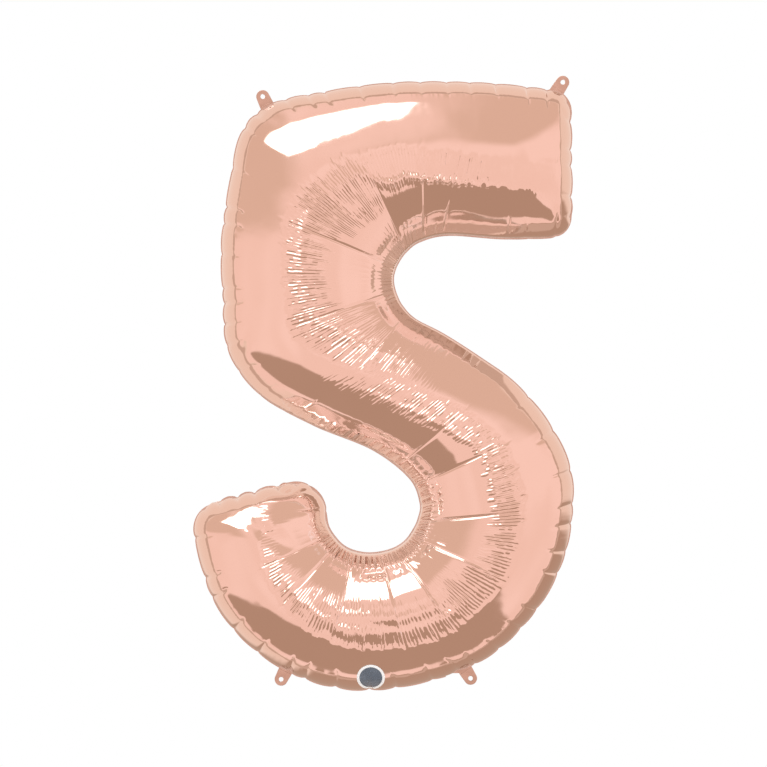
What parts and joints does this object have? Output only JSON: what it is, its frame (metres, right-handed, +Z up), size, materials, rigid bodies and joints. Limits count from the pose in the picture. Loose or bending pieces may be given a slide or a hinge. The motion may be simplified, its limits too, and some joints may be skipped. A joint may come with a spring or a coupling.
{
  "type": "foil number balloon",
  "caption": "Inflated foil balloon in the shape of the figure 5, with a welded edge, flat hanging tabs with punched holes and a self-sealing valve.",
  "frame": {"origin": "under the middle of the figure, in the plane of the weld, at the height of the lowest point of the bowl", "axes": "+X to the right of the figure as it is read, +Y from the front to the back, +Z up"},
  "size_m": [0.5376, 0.2008, 0.8679],
  "materials": {
    "foil": "mirror-bright metallised film in rose gold",
    "flat_foil": "flat metallised film in rose gold, two plies welded",
    "clear_film": "clear soft polyethylene film",
    "release_print": "matt heat-proof print"
  },
  "bodies": {
    "foil_body": {"front_foil_panel": "foil", "rear_foil_panel": "foil", "perimeter_weld": "flat_foil", "valve_mouth": "clear_film", "release_coating": "release_print"},
    "tab_top_left": {"tab_top_left": "flat_foil"},
    "disc_top_left": {"punched_disc_top_left": "flat_foil"},
    "tab_top_right": {"tab_top_right": "flat_foil"},
    "disc_top_right": {"punched_disc_top_right": "flat_foil"},
    "tab_bottom_left": {"tab_bottom_left": "flat_foil"},
    "disc_bottom_left": {"punched_disc_bottom_left": "flat_foil"},
    "tab_bottom_right": {"tab_bottom_right": "flat_foil"},
    "disc_bottom_right": {"punched_disc_bottom_right": "flat_foil"},
    "valve_front_film": {"valve_front_film": "clear_film"},
    "valve_rear_film": {"valve_rear_film": "clear_film"}
  },
  "joints": [
    {"name": "tab_top_left_flex", "type": "hinge", "parent": "foil_body", "child": "tab_top_left", "pos_m": [-0.16515, 0, 0.8275], "axis": [-0.9063, 0, -0.4226], "range_deg": [-80, 80], "stiffness_Nm_per_rad": 0.0005},
    {"name": "disc_top_left_swing", "type": "hinge", "parent": "tab_top_left", "child": "disc_top_left", "pos_m": [-0.17178, 0, 0.84171], "axis": [-0.9063, 0, -0.4226], "range_deg": [-20, 100], "stiffness_Nm_per_rad": 0.00005},
    {"name": "tab_top_right_flex", "type": "hinge", "parent": "foil_body", "child": "tab_top_right", "pos_m": [0.24625, 0, 0.8486], "axis": [-0.8387, 0, 0.5446], "range_deg": [-80, 80], "stiffness_Nm_per_rad": 0.0005},
    {"name": "disc_top_right_swing", "type": "hinge", "parent": "tab_top_right", "child": "disc_top_right", "pos_m": [0.25479, 0, 0.86175], "axis": [-0.8387, 0, 0.5446], "range_deg": [-20, 100], "stiffness_Nm_per_rad": 0.00005},
    {"name": "tab_bottom_left_flex", "type": "hinge", "parent": "foil_body", "child": "tab_bottom_left", "pos_m": [-0.13885, 0, 0.0277], "axis": [0.891, 0, -0.454], "range_deg": [-80, 80], "stiffness_Nm_per_rad": 0.0005},
    {"name": "disc_bottom_left_swing", "type": "hinge", "parent": "tab_bottom_left", "child": "disc_bottom_left", "pos_m": [-0.14597, 0, 0.01373], "axis": [0.891, 0, -0.454], "range_deg": [-20, 100], "stiffness_Nm_per_rad": 0.00005},
    {"name": "tab_bottom_right_flex", "type": "hinge", "parent": "foil_body", "child": "tab_bottom_right", "pos_m": [0.11635, 0, 0.0285], "axis": [0.848, 0, 0.5299], "range_deg": [-80, 80], "stiffness_Nm_per_rad": 0.0005},
    {"name": "disc_bottom_right_swing", "type": "hinge", "parent": "tab_bottom_right", "child": "disc_bottom_right", "pos_m": [0.12466, 0, 0.01521], "axis": [0.848, 0, 0.5299], "range_deg": [-20, 100], "stiffness_Nm_per_rad": 0.00005},
    {"name": "valve_open", "type": "hinge", "parent": "foil_body", "child": "valve_front_film", "pos_m": [0.09685, -0.0001, 0.0378], "axis": [1, 0, 0], "range_deg": [0, 4], "stiffness_Nm_per_rad": 0.0005},
    {"name": "valve_open_rear", "type": "hinge", "parent": "foil_body", "child": "valve_rear_film", "pos_m": [0.09685, 0.0001, 0.0378], "axis": [-1, 0, 0], "range_deg": [0, 4], "stiffness_Nm_per_rad": 0.0005}
  ],
  "couplings": [
    {"joint": "valve_open_rear", "follows": "valve_open", "ratio": 1}
  ]
}
